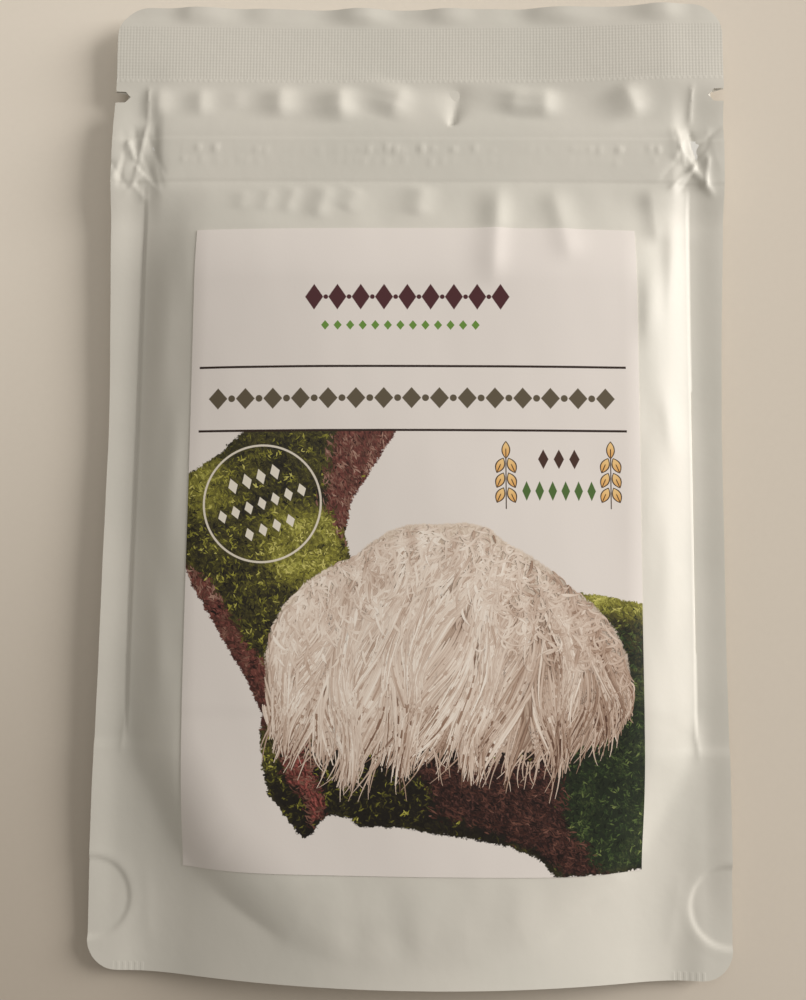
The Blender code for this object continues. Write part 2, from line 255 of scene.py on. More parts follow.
def crumples(x, y):
    """Crushed foil at the two ends of the zip."""
    y = y + 1.7
    z = np.zeros(np.broadcast(x, y).shape)
    for side, seed in ((-1.0, 21), (1.0, 22)):
        r = np.random.default_rng(seed)
        mask = smooth((side * x - 57.5) / 4.5) * smooth((y - 184.0) / 5.0) * (1.0 - smooth((y - 201.0) / 4.0))
        part = np.zeros_like(z)
        for _ in range(17):
            cx, cy = side * r.uniform(60.0, 73.0), r.uniform(187.0, 203.0)
            a = r.uniform(0.7, 2.4) if side < 0 else r.uniform(0.6, 2.3)
            n = r.uniform(2.5, 6.5)
            part += crease(x, y, cx - n * math.cos(a), cy - n * math.sin(a), cx + n * math.cos(a), cy + n * math.sin(a), r.uniform(0.5, 1.1), r.uniform(-0.5, 0.75))
        z += part * mask
    z += crease(x, y, -66.4, 204.0, -69.4, 188.0, 0.9, 0.9) + crease(x, y, -69.4, 188.0, -66.2, 184.0, 0.9, 0.5)
    z += crease(x, y, 66.6, 203.0, 69.4, 191.0, 0.9, -0.75) + crease(x, y, 63.0, 199.5, 72.5, 186.0, 0.9, 0.6)
    z += crease(x, y, -66.9, 214.0, -66.4, 204.0, 0.5, 0.35) + crease(x, y, 67.3, 214.0, 66.9, 204.0, 0.5, 0.35)
    return z


def front_film(x, y):
    """Outer face of the front film."""
    ax = np.abs(x)
    cover, depth = label_cover(x, y)
    z = inflated(x, y) + shared(x, y)
    d = inside(x, y)
    body = smooth(d / 9.0) * smooth((190.0 - y) / 10.0)
    z += body * (0.3 * waves(x, y, 31, 62.0, 1.5) + (1.0 - 0.75 * cover) * (0.12 * waves(x, y, 32, 24.0, 1.9) + 0.04 * waves(x, y, 33, 11.0, 1.6)))
    z += 0.85 * folds_above(x, y)
    z += 0.72 * folds_below(x, y) * (1.0 - 0.35 * cover) * smooth((189.0 - y) / 3.0)
    z += dimples(x, y) + 0.72 * crumples(x, y)
    # Soft dents below the label and at the slanting seals
    z -= 0.2 * np.exp(-(((x + 12.0) / 3.4) ** 2 + ((y - 10.5) / 4.5) ** 2)) + 0.16 * np.exp(-(((x + 1.5) / 3.0) ** 2 + ((y - 9.5) / 4.0) ** 2))
    z -= fold(x, y, -46.5, 20.5, -26.5, 8.5, 1.3, 2.0, 0.22, 1.4) + fold(x, y, 46.5, 20.0, 29.5, 9.0, 2.0, 1.3, 0.15, 1.4)
    z += fold(x, y, -61.0, 26.0, -59.5, 4.0, 2.0, 2.2, 0.12) + fold(x, y, 62.5, 26.0, 59.5, 5.0, 2.2, 2.0, 0.15)
    z += crease(x, y, -66.3, 60.0, -67.6, 50.0, 0.8, 0.3) + crease(x, y, 65.6, 60.0, 66.8, 50.0, 0.8, 0.3)
    # A hairline step along the inner edge of each side seal and the lower edge of the top seal
    z += 0.12 * smooth((SEAM_X + 0.4 - ax) / 0.5) * smooth((y - 58.0) / 4.0) * (1.0 - smooth((y - 184.0) / 4.0))
    z += 0.08 * smooth((214.4 - y) / 0.5) - 0.05 * smooth((y - 227.9) / 0.5)
    # The film steps down a little under the label, which covers it
    return z - 0.35 * smooth((depth - 0.5) / 1.0)


def label_face(x, y):
    """Outer face of the label, stuck down on the film."""
    _, depth = label_cover(x, y)
    return front_film(x, y) + 0.35 * smooth((depth - 0.5) / 1.0) + LABEL_THICK


def back_face(x, y):
    """Outer face of the back film, with shallow hollows that never reach below the surface it lies on."""
    d = SEAM_X - np.abs(x)
    body = smooth((d - 2.0) / 9.0) * smooth((y - 4.0) / 10.0) * (1.0 - smooth((y - 176.0) / 14.0))
    dent = np.maximum(0.0, 0.25 + 0.5 * waves(x, y, 41, 46.0, 1.4) + 0.22 * waves(x, y, 42, 17.0, 1.3))
    z = back_low(x, y) + shared(x, y) + body * 0.5 * dent
    z -= 0.3 * folds_above(x * -1.0 + 7.0, y)
    z -= 0.25 * folds_below(-x, y) * smooth((189.0 - y) / 3.0) * smooth((y - 160.0) / 22.0)
    return np.maximum(z, 0.0)


def gusset_high(x, y):
    w = smooth(inside(x, y) / 26.0)
    flat = sheet(x, y) + shared(x, y) - PLY - 0.02
    deep = back_low(x, y) + shared(x, y) + BACK_FILM + 0.6
    return (1.0 - w) * flat + w * deep + 0.35 * w * (1.0 - w) * 4.0 * waves(x, y, 51, 22.0)


def panel_edge(y, notched=True):
    low = 1.0 - smooth((y - 20.0) / 60.0)
    edge = float(HALF_W - PULL_IN * (0.5 * low + (1.0 - low) * (1.0 - smooth((y - 120.0) / 75.0))))
    if y > LENGTH - TOP_R:
        edge -= TOP_R - math.sqrt(max(0.0, TOP_R ** 2 - (y - LENGTH + TOP_R) ** 2))
    if y < BOTTOM_R:
        edge -= BOTTOM_R - math.sqrt(max(0.0, BOTTOM_R ** 2 - (BOTTOM_R - y) ** 2))
    if notched and abs(y - NOTCH_Y) < NOTCH_HALF:
        edge -= NOTCH_DEPTH - (NOTCH_DEPTH - NOTCH_STRAIGHT) * abs(y - NOTCH_Y) / NOTCH_HALF
    return edge


# ------------------------------------------------------------------ meshes

def spaced(stops):
    """Values from stops of (value, step up to the next), made an odd count."""
    out = []
    for (a, step), (b, _) in zip(stops[:-1], stops[1:]):
        n = max(1, int(round((b - a) / step)))
        out += list(a + (b - a) * np.arange(n) / n)
    out.append(stops[-1][0])
    out = np.array(out)
    if len(out) % 2 == 0:
        widest = int(np.argmax(np.diff(out)))
        out = np.insert(out, widest + 1, (out[widest] + out[widest + 1]) / 2)
    return out


def outline_grid(cols, rows, edge):
    x = np.empty((len(rows), len(cols)))
    for j, y in enumerate(rows):
        e = edge(y)
        ax = np.abs(cols)
        x[j] = np.sign(cols) * np.where(ax <= 66.0, ax, 66.0 + (ax - 66.0) * (e - 66.0) / (HALF_W - 66.0))
    return x, np.repeat(rows[:, None], len(cols), axis=1)


def finish_mesh(name, points, faces, material, replaced, fields=None, angle=1.0):
    mesh = bpy.data.meshes.new(name)
    p = np.array(points, float)
    p[:, 1] -= LENGTH / 2
    mesh.from_pydata((p * MM).tolist(), [], faces)
    mesh.validate()
    mesh.shade_smooth()
    mesh.set_sharp_from_angle(angle=angle)
    for key, values in (fields or {}).items():
        values = np.asarray(values, np.float32)
        if values.ndim == 1:
            mesh.attributes.new(key, "FLOAT", "POINT").data.foreach_set("value", values)
        else:
            mesh.attributes.new(key, "FLOAT_VECTOR", "POINT").data.foreach_set("vector", values.ravel())
    mesh.materials.append(material)
    obj = bpy.data.objects.new(name, mesh)
    bpy.context.scene.collection.objects.link(obj)
    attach(obj, "root")
    if replaced:
        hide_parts(*replaced)
    return obj


def shell(name, x, y, high, low, step, material, replaced, fields=None, angle=1.0, fine_low=False):
    """A closed film: a fine grid on the face that shows and every step-th point on the other."""
    n, m = x.shape
    jj, ii = np.arange(0, n, step), np.arange(0, m, step)
    fine = np.stack([x, y, high], -1)
    coarse = np.stack([x, y, low], -1)[np.ix_(jj, ii)]
    if fine_low:
        fine, coarse = np.stack([x, y, low], -1), np.stack([x, y, high], -1)[np.ix_(jj, ii)]
    k, cm = n * m, len(ii)
    index = np.arange(k).reshape(n, m)
    quads = np.stack([index[:-1, :-1], index[:-1, 1:], index[1:, 1:], index[1:, :-1]], -1).reshape(-1, 4)
    back = k + np.arange(len(jj) * cm).reshape(len(jj), cm)
    under = np.stack([back[:-1, :-1], back[1:, :-1], back[1:, 1:], back[:-1, 1:]], -1).reshape(-1, 4)
    if fine_low:
        quads, under = quads[:, ::-1], under[:, ::-1]
    faces = [tuple(f) for f in quads.tolist()] + [tuple(f) for f in under.tolist()]

    def wall(fine_run, coarse_run):
        for s in range(len(coarse_run) - 1):
            a = [int(v) for v in fine_run[s * step:(s + 1) * step + 1]]
            b = [int(coarse_run[s]), int(coarse_run[s + 1])]
            poly = b + a[::-1]
            faces.append(tuple(poly[::-1] if fine_low else poly))

    wall(index[0, :], back[0, :])
    wall(index[:, -1], back[:, -1])
    wall(index[-1, ::-1], back[-1, ::-1])
    wall(index[::-1, 0], back[::-1, 0])
    points = np.concatenate([fine.reshape(-1, 3), coarse.reshape(-1, 3)])
    both = None
    if fields:
        both = {key: np.concatenate([v.reshape(n * m, -1), v[np.ix_(jj, ii)].reshape(len(jj) * cm, -1)]).squeeze() for key, v in fields.items()}
    return finish_mesh(name, points, faces, material, replaced, both, angle)


def lowest_near(z, reach):
    """Each point's lowest neighbour within reach points, so that a coarse inner face stays inside a fine outer one."""
    out = z.copy()
    for dj in range(-reach, reach + 1):
        for di in range(-reach, reach + 1):
            out = np.minimum(out, np.roll(np.roll(z, dj, 0), di, 1))
    return out


# ------------------------------------------------------------------ shader writing

class Sock:
    """A shader value that can be added, multiplied and compared as in a formula."""

    def __init__(self, tree, socket):
        self.tree, self.socket = tree, socket

    def _math(self, op, *others):
        node = self.tree.nodes.new("ShaderNodeMath")
        node.operation = op
        for i, v in enumerate((self,) + others):
            put(self.tree, node.inputs[i], v)
        return Sock(self.tree, node.outputs[0])

    def __add__(self, o):
        return self._math("ADD", o)

    __radd__ = __add__

    def __sub__(self, o):
        return self._math("SUBTRACT", o)

    def __rsub__(self, o):
        return (self * -1.0) + o

    def __mul__(self, o):
        return self._math("MULTIPLY", o)

    __rmul__ = __mul__

    def __truediv__(self, o):
        return self._math("DIVIDE", o)

    def f(self, op, *o):
        return self._math(op, *o)

    def clamp(self):
        node = self.tree.nodes.new("ShaderNodeClamp")
        put(self.tree, node.inputs[0], self)
        return Sock(self.tree, node.outputs[0])

    def step(self, a, b, lo=0.0, hi=1.0):
        """Smooth step from lo at a to hi at b."""
        node = self.tree.nodes.new("ShaderNodeMapRange")
        node.interpolation_type = "SMOOTHSTEP"
        flip = a > b if not isinstance(a, Sock) and not isinstance(b, Sock) else False
        values = (b, a, hi, lo) if flip else (a, b, lo, hi)
        put(self.tree, node.inputs[0], self)
        for i, v in enumerate(values):
            put(self.tree, node.inputs[i + 1], v)
        return Sock(self.tree, node.outputs[0])


def put(tree, socket, value):
    if isinstance(value, Sock):
        tree.links.new(value.socket, socket)
    elif isinstance(value, (tuple, list)):
        value = tuple(value)
        if len(value) == 3 and socket.type == "RGBA":
            value += (1.0,)
        socket.default_value = value
    else:
        socket.default_value = value


class Shader:
    def __init__(self, name):
        self.material = bpy.data.materials.new(name)
        self.material.use_nodes = True
        self.tree = self.material.node_tree
        self.bsdf = self.tree.nodes["Principled BSDF"]

    def node(self, kind):
        return self.tree.nodes.new(kind)

    def set(self, key, value):
        put(self.tree, self.bsdf.inputs[key], value)

    def attribute(self, key):
        node = self.node("ShaderNodeAttribute")
        node.attribute_name = key
        return node

    def vector(self, key):
        return Sock(self.tree, self.attribute(key).outputs["Vector"])

    def place(self):
        node = self.node("ShaderNodeTexCoord")
        return Sock(self.tree, node.outputs["Object"])

    def split(self, v):
        node = self.node("ShaderNodeSeparateXYZ")
        put(self.tree, node.inputs[0], v)
        return tuple(Sock(self.tree, o) for o in node.outputs)

    def join(self, x, y, z=0.0):
        node = self.node("ShaderNodeCombineXYZ")
        for i, v in enumerate((x, y, z)):
            put(self.tree, node.inputs[i], v)
        return Sock(self.tree, node.outputs[0])

    def noise(self, v, scale, detail=2.0, rough=0.5, distort=0.0, dims="3D"):
        node = self.node("ShaderNodeTexNoise")
        node.noise_dimensions = dims
        put(self.tree, node.inputs["Vector"], v)
        node.inputs["Scale"].default_value = scale
        node.inputs["Detail"].default_value = detail
        node.inputs["Roughness"].default_value = rough
        node.inputs["Distortion"].default_value = distort
        return Sock(self.tree, node.outputs[0])

    def cells(self, v, scale, feature="F1"):
        node = self.node("ShaderNodeTexVoronoi")
        node.feature = feature
        put(self.tree, node.inputs["Vector"], v)
        node.inputs["Scale"].default_value = scale
        return Sock(self.tree, node.outputs["Distance"])

    def random(self, v):
        node = self.node("ShaderNodeTexWhiteNoise")
        node.noise_dimensions = "3D"
        put(self.tree, node.inputs["Vector"], v)
        return Sock(self.tree, node.outputs["Value"]), Sock(self.tree, node.outputs["Color"])

    def mix(self, share, a, b, blend="MIX"):
        node = self.node("ShaderNodeMix")
        node.data_type = "RGBA"
        node.blend_type = blend
        put(self.tree, node.inputs[0], share)
        put(self.tree, node.inputs[6], a)
        put(self.tree, node.inputs[7], b)
        return Sock(self.tree, node.outputs[2])

    def bump(self, height, distance, strength=1.0, normal=None):
        node = self.node("ShaderNodeBump")
        node.inputs["Strength"].default_value = strength
        node.inputs["Distance"].default_value = distance
        put(self.tree, node.inputs["Height"], height)
        if normal is not None:
            put(self.tree, node.inputs["Normal"], normal)
        return Sock(self.tree, node.outputs[0])


def srgb(r, g, b):
    """Linear colour from 0 to 255 display values."""
    return tuple((c / 255.0 / 12.92) if c / 255.0 <= 0.04045 else ((c / 255.0 + 0.055) / 1.055) ** 2.4 for c in (r, g, b))


# ------------------------------------------------------------------ materials

def foil_material():
    s = Shader("foil")
    x, y, _ = s.split(s.place())
    x, y = x * 1000.0, y * 1000.0 + LENGTH / 2
    cloud = s.noise(s.place(), 28.0, 3.0, 0.5)
    fine = s.noise(s.place(), 260.0, 2.0, 0.5)
    s.set("Base Color", s.mix(cloud.step(0.3, 0.7), srgb(214, 212, 203), srgb(220, 217, 208)))
    s.set("Roughness", 0.52)
    s.bsdf.inputs["Specular IOR Level"].default_value = 0.4
    # The diamond crimp of the top seal
    band = y.step(214.0, 214.6) * y.step(228.2, 227.6)
    lean = 2.0 * math.pi / 1.55
    a = ((x + y) * lean).f("SINE")
    b = ((x - y) * lean).f("SINE")
    crimp = (a * b) * band
    teeth = (x * (2.0 * math.pi / 1.3)).f("SINE").step(-0.5, 0.5) * y.step(213.3, 213.6) * y.step(214.4, 214.0)
    rim = ((x * (2.0 * math.pi / 1.4)).f("SINE").step(-0.4, 0.4)) * x.f("ABSOLUTE").step(60.0, 61.0) * x.f("ABSOLUTE").step(69.0, 67.5) * y.step(2.2, 1.6)
    height = crimp * 0.5 + teeth * 0.5 + rim * 0.8
    n = s.bump(height, 0.00007, 0.5)
    n = s.bump(fine + cloud * 1.5, 0.00035, 0.12, n)
    s.set("Normal", n)
    return s.material


def zip_material():
    s = Shader("zip")
    grain = s.noise(s.place(), 90.0, 2.0)
    s.set("Base Color", s.mix(grain, (0.80, 0.80, 0.77), (0.86, 0.86, 0.83)))
    s.set("Roughness", 0.4)
    return s.material


def powder_material():
    s = Shader("powder")
    grain = s.noise(s.place(), 900.0, 3.0, 0.7)
    lump = s.noise(s.place(), 60.0, 3.0, 0.6)
    s.set("Base Color", s.mix(grain, srgb(176, 140, 98), srgb(214, 182, 138)))
    s.set("Roughness", 0.95)
    s.set("Normal", s.bump(grain + lump * 2.0, 0.0006, 0.6))
    return s.material


# ------------------------------------------------------------------ the printed picture, in label millimetres

TRUNK = ((13.6, 99.5), (48.6, 99.5), (43.0, 90.5), (38.2, 83.0), (36.6, 75.0), (37.6, 69.0), (33.0, 60.0), (26.5, 48.6), (21.0, 37.3), (18.6, 33.0), (14.6, 41.4),
         (10.2, 48.5), (5.2, 57.1), (1.4, 63.2), (-1.0, 69.0), (-1.5, 82.6), (-0.6, 88.6), (6.3, 92.9))
BRANCH = ((18.2, 40.0), (17.6, 30.0), (18.2, 22.0), (19.4, 16.6), (23.2, 11.9), (27.4, 7.0), (29.8, 8.2), (32.6, 12.0), (37.4, 11.6), (40.0, 9.6), (49.4, 9.5), (58.4, 8.0), (66.0, 6.9),
          (73.8, 5.2), (80.0, 2.6), (83.6, -1.5), (108.0, -1.5), (108.0, 58.6), (101.0, 59.6), (94.6, 61.2), (88.0, 61.6), (80.0, 45.0), (50.0, 40.0))
MOUND = ((18.7, 38.0), (18.6, 46.5), (19.8, 53.0), (22.6, 58.4), (27.4, 63.6), (33.4, 67.4), (38.6, 69.6), (42.6, 73.0), (46.3, 75.4), (51.0, 77.0), (58.4, 77.0), (64.0, 77.4), (69.0, 76.2),
         (73.6, 72.4), (79.0, 69.6), (84.0, 66.0), (88.6, 62.0), (93.4, 58.4), (97.8, 53.2), (100.6, 47.2), (101.2, 40.4), (99.6, 34.4), (97.0, 30.2), (92.1, 27.6), (86.5, 26.6),
         (80.0, 26.0), (70.0, 26.0), (60.0, 27.0), (50.0, 26.0), (42.0, 25.4), (35.8, 26.0), (30.0, 28.4), (24.0, 31.6), (20.3, 34.0))
BARK_TOP = ((34.4, 99.8), (50.0, 99.8), (44.0, 89.0), (38.6, 82.0), (35.6, 73.0), (33.4, 78.0), (31.8, 82.0), (33.4, 91.0))
BARK_LOW = ((-2.0, 69.6), (5.6, 64.4), (9.6, 58.0), (14.6, 50.0), (19.6, 45.0), (22.0, 34.0), (17.6, 31.0), (10.0, 46.0), (2.0, 59.0), (-2.0, 63.0))
BARK_LEFT = ((21.4, 31.0), (27.6, 30.6), (28.8, 24.6), (31.6, 18.0), (32.6, 12.4), (29.0, 10.8), (27.0, 17.0), (22.6, 21.0))
BARK_MID = ((52.0, 24.0), (76.0, 26.0), (83.6, 26.0), (84.6, 15.0), (88.0, 7.0), (96.0, -2.0), (86.0, -2.0), (80.6, 3.6), (70.0, 8.0), (58.0, 12.0))


CROWN_X = np.array([17.0, 20.0, 27.0, 34.0, 42.0, 50.0, 60.0, 69.0, 76.0, 84.0, 92.0, 98.0, 102.0])
CROWN_Y = np.array([42.0, 54.0, 64.0, 68.5, 73.5, 77.5, 77.6, 76.5, 71.5, 66.5, 60.0, 53.0, 42.0])
FRINGE_X = np.array([17.0, 20.0, 26.0, 33.0, 38.0, 42.0, 46.0, 56.0, 66.0, 76.0, 84.0, 91.0, 98.0, 103.0])
FRINGE_Y = np.array([33.0, 29.0, 25.6, 21.4, 19.2, 20.0, 22.4, 23.6, 22.6, 19.6, 23.4, 24.6, 30.0, 38.0])


def signed(u, v, shape):
    """Distance to a closed outline, positive inside."""
    pts = np.array(shape)
    best = np.full(u.shape, 1e9)
    wind = np.zeros(u.shape, bool)
    for (x0, y0), (x1, y1) in zip(pts, np.roll(pts, -1, 0)):
        dx, dy = x1 - x0, y1 - y0
        t = np.clip(((u - x0) * dx + (v - y0) * dy) / (dx * dx + dy * dy), 0.0, 1.0)
        best = np.minimum(best, np.hypot(u - x0 - t * dx, v - y0 - t * dy))
        crosses = ((y0 > v) != (y1 > v)) & (u < (x1 - x0) * (v - y0) / ((y1 - y0) or 1e-9) + x0)
        wind ^= crosses
    return np.where(wind, best, -best)


def picture_fields(u, v):
    # The picture is printed a little askew on its sheet
    u, v = (-0.7458 + 0.994 * u + 0.0099 * v - 0.000089 * u * v + 0.00006 * u * u,
            -0.5523 - 0.0104 * u + 0.9934 * v + 0.000053 * u * v + 0.000025 * v * v + 0.000012 * u * u)
    mound = signed(u, v, MOUND)
    # Down the mushroom: 0 at its crown's outline, 1 at its fringe. Across it: which spine.
    top, low = np.interp(u, CROWN_X, CROWN_Y), np.interp(u, FRINGE_X, FRINGE_Y)
    t = (top - v) / np.maximum(top - low, 4.0)
    # Spines sweep down and to the left in the middle and hang straight at the left; they bow outwards at the right
    k = np.clip(t, 0.0, 1.2)
    sweep = 15.0 * np.exp(-(((u - 62.0) / 24.0) ** 2)) * (k ** 1.3) + 5.0 * np.exp(-(((u - 88.0) / 13.0) ** 2)) * (k ** 2.0)
    sweep = sweep - 4.5 * np.exp(-(((u - 26.0) / 10.0) ** 2)) * (k ** 1.5)
    s = u + sweep + 0.9 * np.sin(v * 0.33 + u * 0.09)
    return {
        "art": np.stack([u, v, t], -1),
        "wood": np.stack([signed(u, v, TRUNK), signed(u, v, BRANCH), mound], -1),
        "bark": np.stack([np.maximum(signed(u, v, BARK_TOP), signed(u, v, BARK_LOW)), np.maximum(signed(u, v, BARK_LEFT), signed(u, v, BARK_MID)), s], -1),
    }


def label_material():
    s = Shader("label_print")
    u, v, t = s.split(s.vector("art"))
    trunk, branch, mound = s.split(s.vector("wood"))
    bark_a, bark_b, strand = s.split(s.vector("bark"))
    uv = s.join(u, v)

    paper = s.mix(s.noise(uv, 0.05, 2.0), srgb(232, 226, 221), srgb(236, 230, 225))
    colour = paper

    # ---- trunk and branch
    rag = s.noise(uv, 0.55, 4.0, 0.6) - 0.5
    fine_rag = s.noise(uv, 2.2, 3.0, 0.6) - 0.5
    wood = trunk.f("MAXIMUM", branch)
    cut = v.step(98.95, 98.75)
    wood_mask = (wood + rag * 2.0 + fine_rag * 0.9).step(-0.12, 0.22) * cut
    # moss
    tuft = s.noise(s.join(u * 1.0 + v * 0.35, v * 0.8), 1.15, 5.0, 0.62, 0.4)
    tuft_fine = s.noise(uv, 3.4, 4.0, 0.7)
    patch = s.noise(uv, 0.16, 3.0, 0.55)
    # a lit upper side: near the ring's lower right, at the far left, and on the top of the right-hand stub
    lit = ((u - 24.0) * 0.085).f("POWER", 2.0)
    glow = (((u - 27.0) / 10.0).f("POWER", 2.0) + ((v - 72.0) / 9.0).f("POWER", 2.0)).step(1.9, 0.0)
    glow2 = (((u - 5.0) / 7.0).f("POWER", 2.0) + ((v - 86.0) / 9.0).f("POWER", 2.0)).step(1.6, 0.0)
    glow3 = ((v - 59.5 + (u - 95.0) * 0.15).step(-7.0, 0.5)) * u.step(86.0, 92.0)
    glow4 = (((u - 19.5) / 3.4).f("POWER", 2.0) + ((v - 27.0) / 9.0).f("POWER", 2.0)).step(1.3, 0.1)
    shine = (glow + glow2 * 0.75 + glow3 * 0.9 + glow4 * 0.5).clamp()
    lift = (tuft * 0.62 + tuft_fine * 0.38) + (patch - 0.5) * 0.45 + shine * 0.23 - branch.step(0.0, 10.0) * 0.06
    moss = s.mix(lift.step(0.40, 0.56), srgb(30, 26, 17), srgb(70, 66, 30))
    moss = s.mix(lift.step(0.54, 0.70), moss, srgb(120, 116, 44))
    moss = s.mix(lift.step(0.68, 0.86), moss, srgb(188, 186, 92))
    # the branch is darker and, at its right end, a deep green
    low_tone = v.step(60.0, 30.0) * branch.step(-1.0, 1.5)
    dark_moss = s.mix(lift.step(0.50, 0.80), srgb(24, 20, 14), srgb(66, 62, 34))
    green = s.mix(lift.step(0.42, 0.74), srgb(27, 36, 22), srgb(78, 92, 50))
    dark_moss = s.mix(u.step(80.0, 90.0), dark_moss, green)
    moss = s.mix(low_tone * (1.0 - shine * 0.6), moss, dark_moss)
    # bark
    grain = s.noise(s.join(u * 0.9 + v * 0.5, v * 0.45 - u * 0.3), 1.6, 5.0, 0.62, 0.6)
    bark = s.mix(grain.step(0.34, 0.56), srgb(52, 24, 20), srgb(112, 62, 54))
    bark = s.mix(grain.step(0.55, 0.74), bark, srgb(158, 104, 92))
    bark_dark = s.mix(grain.step(0.40, 0.72), srgb(34, 16, 14), srgb(104, 66, 58))
    scales = s.cells(s.join(u * 0.8, v * 1.6), 0.9, "DISTANCE_TO_EDGE")
    bark_dark = s.mix(scales.step(0.12, 0.0) * 0.65, bark_dark, srgb(22, 12, 10))
    bark_left = s.mix(grain.step(0.36, 0.66), srgb(60, 22, 18), srgb(168, 92, 84))
    bark_low = s.mix(u.step(38.0, 44.0), bark_left, bark_dark)
    mask_a = (bark_a + rag * 5.0 + fine_rag * 1.5).step(-0.2, 0.7)
    mask_b = (bark_b + rag * 7.0 + fine_rag * 2.0).step(-0.4, 1.2)
    wood_colour = s.mix(mask_a, moss, bark)
    wood_colour = s.mix(mask_b, wood_colour, bark_low)
    # darker towards the wood's outline and beneath the mushroom
    wood_colour = s.mix((wood + rag * 1.2).step(1.9, 0.1) * 0.45 * v.step(60.0, 40.0), wood_colour, srgb(18, 14, 11))
    shade = mound.step(-5.0, -0.3) * v.step(36.0, 22.0)
    wood_colour = s.mix(shade * 0.75, wood_colour, srgb(20, 15, 12))
    foot = v.step(12.5, 7.5) * u.step(76.0, 66.0)
    wood_colour = s.mix(foot * 0.7, wood_colour, srgb(20, 13, 10))
    colour = s.mix(wood_mask, colour, wood_colour)

    # ---- the mushroom's underlying tone; its crown is matted, and the hanging spines are printed over it
    clump = s.noise(s.join(strand * 0.30, t * 2.4), 1.0, 2.0, 0.55, dims="2D")
    streak = s.noise(s.join(strand * 1.4, t * 6.0), 1.0, 3.0, 0.62, dims="2D")
    curl = s.noise(uv, 0.75, 4.0, 0.66, 1.1, dims="2D")
    crown = s.mix(curl.step(0.34, 0.64), srgb(204, 186, 168), srgb(234, 220, 205))
    under = s.mix(streak.step(0.34, 0.66), srgb(140, 112, 94), srgb(204, 182, 164))
    body = s.mix((t + (clump - 0.5) * 0.5).step(0.10, 0.42), crown, under)
    body = s.mix(((u - 74.0) / 26.0).clamp() * 0.35, body, srgb(120, 102, 92))
    mushroom = (mound + (curl - 0.5) * 1.6).step(-0.3, 0.2)
    colour = s.mix(mushroom * t.step(1.0, 0.93), colour, body)

    # ---- rules
    def bar(c, v0, half, u0, u1, ink):
        d = (v - v0).f("ABSOLUTE").step(half + 0.05, half - 0.05) * u.step(u0 - 0.05, u0 + 0.05) * u.step(u1 + 0.05, u1 - 0.05)
        return s.mix(d, c, ink)

    ink = srgb(44, 26, 18)
    colour = bar(colour, 114.0, 0.27, 2.3, 101.3, ink)
    colour = bar(colour, 98.9, 0.27, 2.3, 101.3, ink)

    # ---- a plain white ring over the trunk
    r = ((u - 17.4).f("POWER", 2.0) + (v - 81.9).f("POWER", 2.0)).f("SQRT")
    colour = s.mix((r - 13.5).f("ABSOLUTE").step(0.30, 0.17) * 0.92, colour, srgb(236, 228, 214))

    # ---- two plain ears of grain: paired seeds on a stalk
    def ear(c, cu, base):
        du = u - cu
        stalk = du.f("ABSOLUTE").step(0.16, 0.09) * v.step(base - 0.05, base + 0.05) * v.step(base + 12.8, base + 12.6)
        c = s.mix(stalk, c, srgb(64, 42, 26))
        seeds = [(0.0, base + 13.7, 0.0)]
        for row in range(3):
            seeds += [(1.35, base + 3.2 + row * 3.45, -0.42), (-1.35, base + 3.2 + row * 3.45, 0.42)]
        for ox, oy, lean in seeds:
            px, py = du - ox, v - oy
            cs, sn = math.cos(lean), math.sin(lean)
            qx, qy = px * cs - py * sn, px * sn + py * cs
            half_len, half_wid = (1.95, 1.08) if lean else (2.1, 1.0)
            shape = (qx.f("ABSOLUTE") / half_wid) + (qy / half_len).f("POWER", 2.0)
            c = s.mix(shape.step(1.06, 0.98), c, srgb(58, 38, 24))
            c = s.mix(shape.step(0.82, 0.72), c, s.mix(qy.step(-1.4, 1.4), srgb(232, 178, 106), srgb(243, 205, 140)))
            c = s.mix(qx.f("ABSOLUTE").step(0.15, 0.07) * qy.step(0.5, 0.1) * shape.step(0.8, 0.7), c, srgb(58, 38, 24))
        return c

    colour = ear(colour, 73.2, 80.6)
    colour = ear(colour, 97.4, 80.7)

    # ---- plain borders of lozenges and dots where a maker would put words
    def ornaments(c, x, y, pitch, count, wide, high, ink, every=1, dot=0.0):
        """A centred row: lozenges, with a dot between each two where dot is set."""
        start = -pitch * count / 2.0
        place = (x - start) / pitch
        number = place.f("FLOOR")
        local = (place - number - 0.5) * pitch
        row = number.step(-0.6, -0.4) * number.step(count - 0.4, count - 0.6)
        shape = local.f("ABSOLUTE") / wide + y.f("ABSOLUTE") / high
        c = s.mix(shape.step(1.05, 0.95) * row, c, ink)
        if dot:
            off = ((place - 0.5) - (place - 0.5).f("FLOOR") - 0.5) * pitch
            between = place.step(0.55, 0.65) * place.step(count - 0.55, count - 0.65)
            far = (off * off + y * y).f("SQRT")
            c = s.mix(far.step(dot + 0.07, dot - 0.07) * between, c, ink)
        return c

